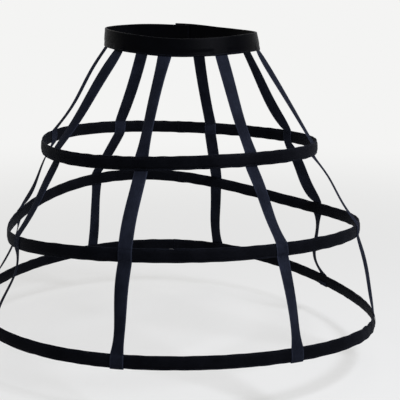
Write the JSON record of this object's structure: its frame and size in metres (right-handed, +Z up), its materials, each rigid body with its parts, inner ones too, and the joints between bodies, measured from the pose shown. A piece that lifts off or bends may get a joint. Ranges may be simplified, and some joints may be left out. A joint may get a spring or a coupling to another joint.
{
  "type": "crinoline cage",
  "caption": "Open black crinoline cage: a lapped waistband, hanging tapes and boned hoops in cloth casings that widen towards the hem.",
  "frame": {"origin": "centre of the waist, at the middle of the waistband's height", "axes": "+Z up, the front faces -Y, +X to the right of someone who looks at the front"},
  "size_m": [0.6999, 0.7193, 0.509],
  "materials": {
    "waistband_satin": "black satin, faint sheen",
    "casing_cloth": "black satin bias strip",
    "tape_twill": "blue-black twill tape",
    "stiffener": "white woven stiffener",
    "coated_steel": "white coated spring steel",
    "plated_steel": "nickel plated"
  },
  "bodies": {
    "root": {"waistband": "waistband_satin", "waistband_stiffener": "stiffener", "waist_hook_upper": "plated_steel", "waist_bar_upper": "plated_steel", "waist_hook_lower": "plated_steel", "waist_bar_lower": "plated_steel", "tape_front": "tape_twill", "tape_front_right": "tape_twill", "tape_right": "tape_twill", "tape_back_right": "tape_twill", "tape_back": "tape_twill", "tape_back_left": "tape_twill", "tape_left": "tape_twill", "tape_front_left": "tape_twill", "hoop_casing_upper": "casing_cloth", "hoop_bone_upper": "coated_steel", "bone_sleeve_upper": "plated_steel", "hoop_casing_middle": "casing_cloth", "hoop_bone_middle": "coated_steel", "bone_sleeve_middle": "plated_steel", "hoop_casing_lower": "casing_cloth", "hoop_bone_lower": "coated_steel", "bone_sleeve_lower": "plated_steel"}
  },
  "joints": []
}
